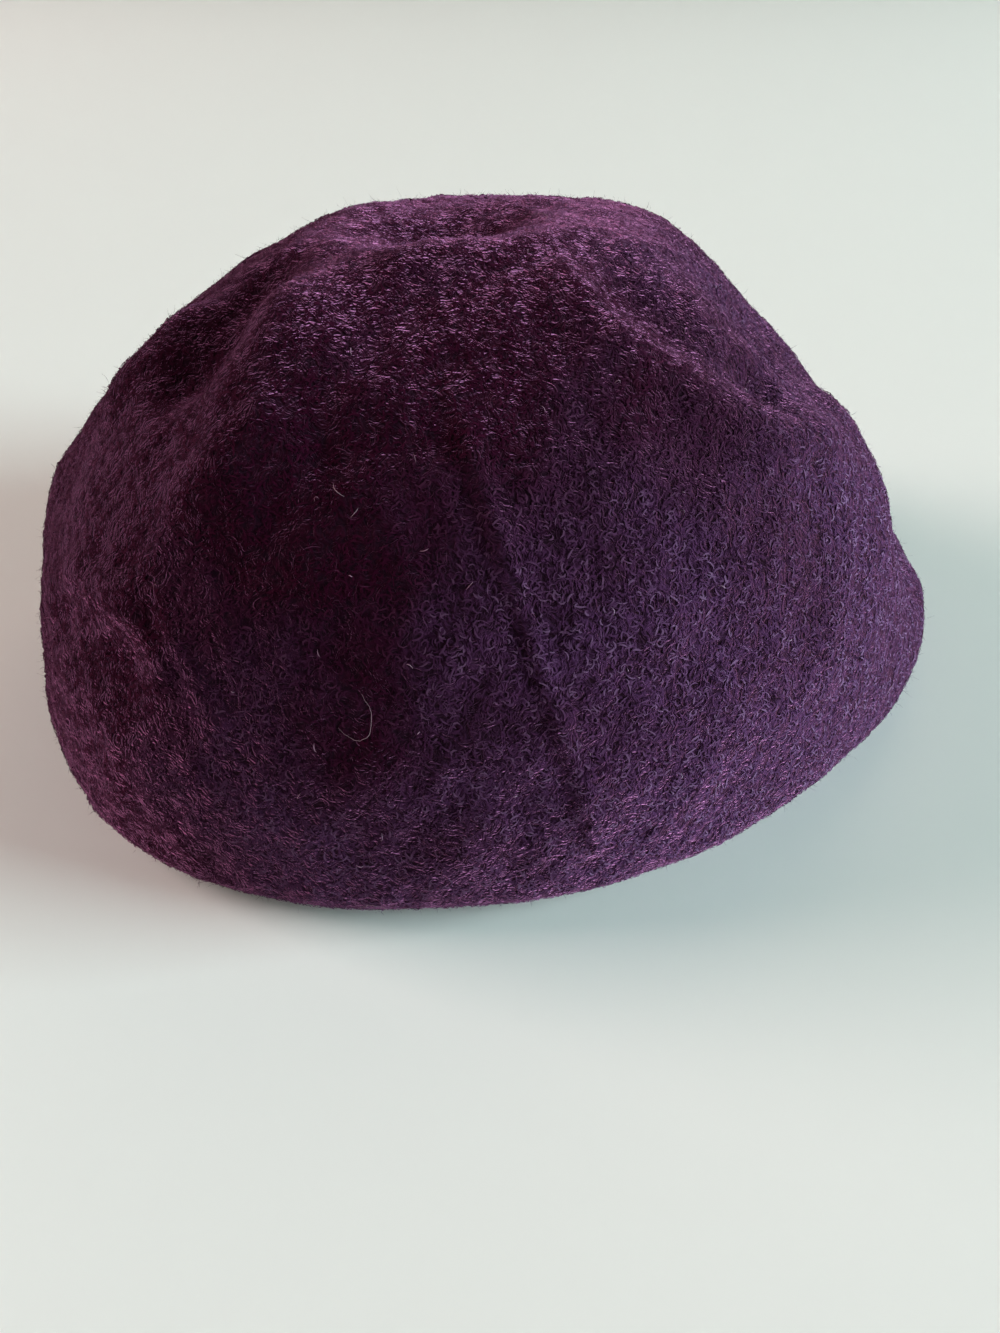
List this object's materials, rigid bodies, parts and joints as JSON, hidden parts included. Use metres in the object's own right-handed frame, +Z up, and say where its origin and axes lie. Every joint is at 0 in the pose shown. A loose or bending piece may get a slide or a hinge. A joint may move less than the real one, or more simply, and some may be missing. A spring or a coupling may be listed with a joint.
{
  "type": "baker boy cap",
  "caption": "Full round felt cap with a soft dented crown, a short integral peak and an edge rolled under to an oval head opening.",
  "frame": {"origin": "middle of the footprint's bounding box, at the height of the flat underside that the cap rests on", "axes": "+Z up through the crown, -Y to the front where the peak points, +X to the wearer's left"},
  "size_m": [0.247, 0.2974, 0.1297],
  "materials": {
    "wool_felt": "matte brushed wool felt, aubergine"
  },
  "bodies": {
    "root": {"felt_cap": "wool_felt"}
  },
  "joints": []
}
